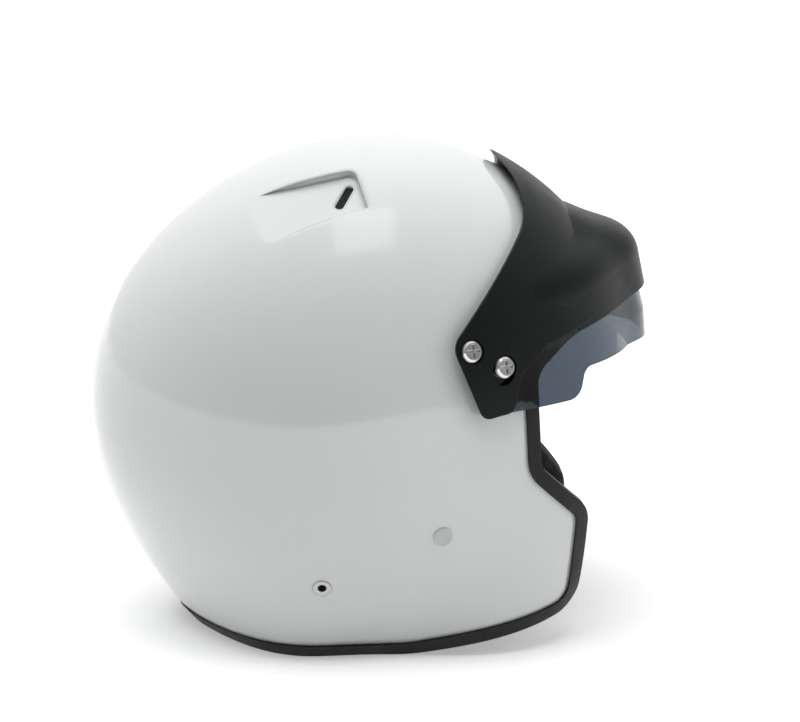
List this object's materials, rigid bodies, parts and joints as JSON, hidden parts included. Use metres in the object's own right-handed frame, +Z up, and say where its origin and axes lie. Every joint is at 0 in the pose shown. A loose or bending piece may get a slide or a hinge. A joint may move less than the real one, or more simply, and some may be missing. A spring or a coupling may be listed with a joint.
{
  "type": "open-face racing helmet",
  "caption": "Open-face auto racing helmet with a tilting peak, a short tinted lens, padded lining and a D-ring chin strap.",
  "frame": {"origin": "bottom centre of the bounding box, on the plane the rim rests on", "axes": "+X forward, +Y to the wearer's left, +Z up"},
  "size_m": [0.3264, 0.247, 0.2848],
  "materials": {
    "painted_shell": "gloss clear coat over white paint on a laminated shell",
    "edge_rubber": "satin black",
    "foam": "expanded bead foam",
    "lining": "brushed knit",
    "peak_black": "fine grained black",
    "smoke_lens": "transparent smoke tint",
    "plated": "bright plated",
    "steel": "brushed",
    "black_oxide": "black oxide",
    "cap_white": "satin white",
    "webbing": "woven nylon",
    "mesh_black": "punched sheet"
  },
  "bodies": {
    "helmet": {"outer_shell": "painted_shell", "edge_trim": "edge_rubber", "impact_liner": "foam", "crown_pad": "lining", "brow_pad": "lining", "headband_pad": "lining", "neck_roll": "lining", "cheek_block_right": "foam", "cheek_block_left": "foam", "cheek_cushion_right": "lining", "cheek_cushion_left": "lining", "pivot_screws": "plated", "slot_screws": "plated", "peak_bushes": "steel", "peak_washers": "plated", "peak_nuts": "steel", "anchor_inserts": "black_oxide", "strap_rivets": "steel", "rivet_covers": "cap_white", "strap_hangers": "steel", "chin_strap_right": "webbing", "chin_strap_left": "webbing", "strap_snap": "plated", "vent_meshes": "mesh_black"},
    "peak_body": {"peak": "peak_black", "lens": "smoke_lens", "lens_stud": "peak_black"},
    "lower_ring_body": {"d_ring_lower": "plated"},
    "upper_ring_body": {"d_ring_upper": "plated"}
  },
  "joints": [
    {"name": "peak_tilt", "type": "hinge", "parent": "helmet", "child": "peak_body", "pos_m": [0.04163, 0, 0.18386], "axis": [0, -1, 0], "range_deg": [0, 10]},
    {"name": "lower_ring_swing", "type": "hinge", "parent": "helmet", "child": "lower_ring_body", "pos_m": [0.00897, -0.02183, 0.007], "axis": [0.9834, 0.1812, 0], "range_deg": [0, 80]},
    {"name": "upper_ring_swing", "type": "hinge", "parent": "lower_ring_body", "child": "upper_ring_body", "pos_m": [0.00897, -0.02183, 0.007], "axis": [0.9834, 0.1812, 0], "range_deg": [0, 50]}
  ]
}
